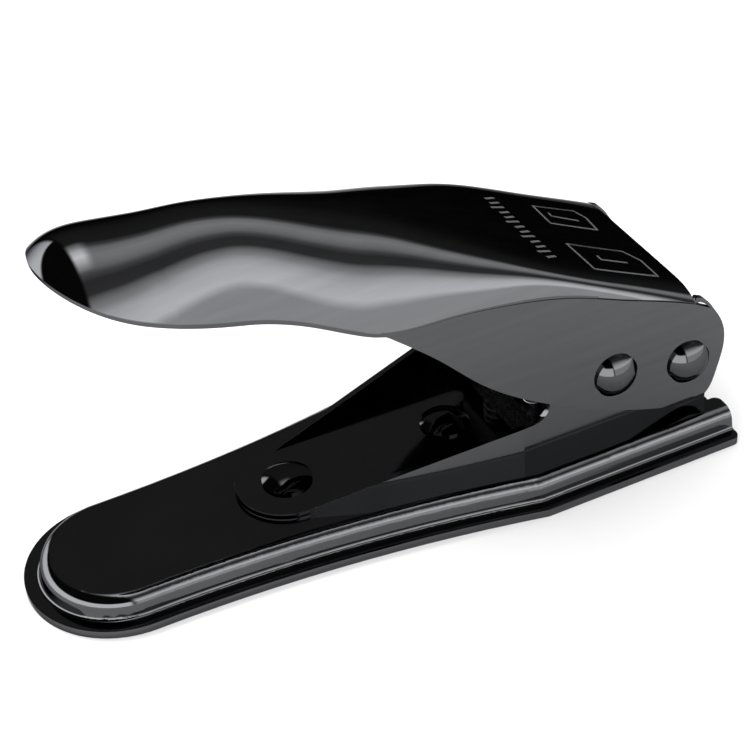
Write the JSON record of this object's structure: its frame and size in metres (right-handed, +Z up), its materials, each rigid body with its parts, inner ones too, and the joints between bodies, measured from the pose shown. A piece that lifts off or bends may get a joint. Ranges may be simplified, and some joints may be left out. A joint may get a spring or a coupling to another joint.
{
  "type": "sim card cutter",
  "caption": "Stapler-shaped card cutter: a sprung pressed-steel handle drives punches that trim a phone card to smaller sizes in side-by-side slots.",
  "frame": {"origin": "on the table at the middle of the tool's overall length, on its plane of symmetry", "axes": "+Z up, +X from the grip nose to the card mouth, Y across the tool"},
  "size_m": [0.136, 0.054, 0.0731],
  "materials": {
    "black_chrome_base": "polished",
    "black_chrome_frame": "polished",
    "black_chrome_handle": "polished",
    "black_chrome_rivet": "polished",
    "tool_steel": "ground",
    "spring_steel": "satin",
    "ground_steel": "ground",
    "spring_wire": "satin",
    "zinc_screw": "satin",
    "black_steel_block": "black oxide",
    "bronze_bush": "satin",
    "hardened_punch": "ground"
  },
  "bodies": {
    "base": {"base_tray": "black_chrome_base", "frame_bracket": "black_chrome_frame", "front_base_rivet": "black_chrome_rivet", "rear_base_rivet": "black_chrome_rivet", "die_plate": "tool_steel", "card_guide": "spring_steel", "stripper_plate": "tool_steel", "guide_posts": "ground_steel", "left_return_spring": "spring_wire", "right_return_spring": "spring_wire", "die_screws": "zinc_screw", "pivot_rivet": "black_chrome_rivet", "pivot_spacer": "ground_steel"},
    "handle": {"handle_shell": "black_chrome_handle", "drive_rivet": "black_chrome_rivet", "drive_sleeve": "ground_steel"},
    "punch": {"punch_block": "black_steel_block", "guide_bushes": "bronze_bush", "micro_punch": "hardened_punch", "nano_punch": "hardened_punch", "punch_screws": "zinc_screw"}
  },
  "joints": [
    {"name": "handle_hinge", "type": "hinge", "parent": "base", "child": "handle", "pos_m": [0.0599, 0, 0.0177], "axis": [0, -1, 0], "range_deg": [0, 22], "stiffness_Nm_per_rad": 0.6, "springref_deg": -20.05},
    {"name": "punch_slide", "type": "slide", "parent": "base", "child": "punch", "axis": [0, 0, -1], "range_m": [0, 0.0063], "deforming": ["left_return_spring", "right_return_spring"]}
  ],
  "couplings": [
    {"joint": "punch_slide", "follows": "handle_hinge", "m_per_rad": 0.0162}
  ]
}
